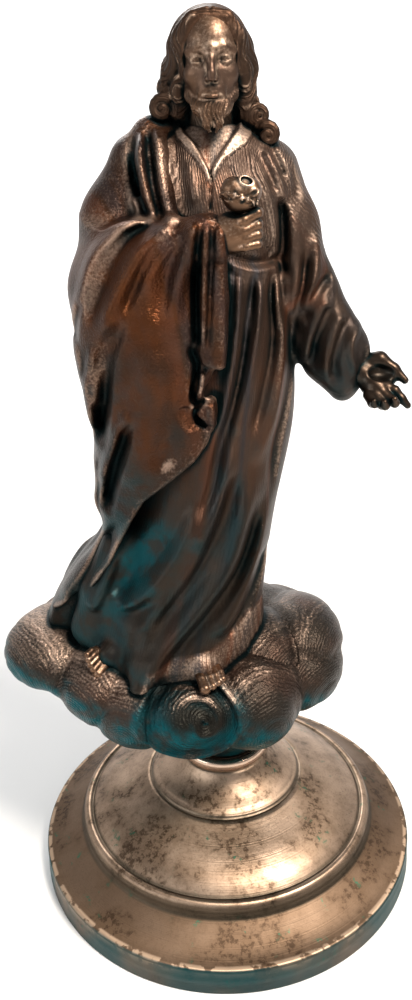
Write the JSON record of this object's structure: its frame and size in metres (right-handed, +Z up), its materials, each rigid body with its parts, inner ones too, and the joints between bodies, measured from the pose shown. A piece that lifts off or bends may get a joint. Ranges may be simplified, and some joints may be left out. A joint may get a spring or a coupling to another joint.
{
  "type": "sacred heart statue",
  "caption": "Cast bronze table statue of a robed, bearded figure that holds a heart and offers one hand, standing on a rolled cloud with a polished collar and a turned round foot.",
  "frame": {"origin": "middle of the foot's underside, on the axis of the turned foot, where the statue stands on a table", "axes": "+Z up, the figure faces -Y, its offered hand reaches to +X"},
  "size_m": [0.1833, 0.1756, 0.3597],
  "materials": {
    "figure_bronze": "brown patinated cast bronze, worn bright on the high points and near black in the folds",
    "cloud_bronze": "brown patinated cast bronze chased with fine curved lines, blue-green in the hollows",
    "collar_brass": "polished brass",
    "foot_brass": "turned brass, dull rose tone with brown spots and scratches"
  },
  "bodies": {
    "root": {"figure": "figure_bronze", "cloud": "cloud_bronze", "collar": "collar_brass", "foot": "foot_brass"}
  },
  "joints": []
}
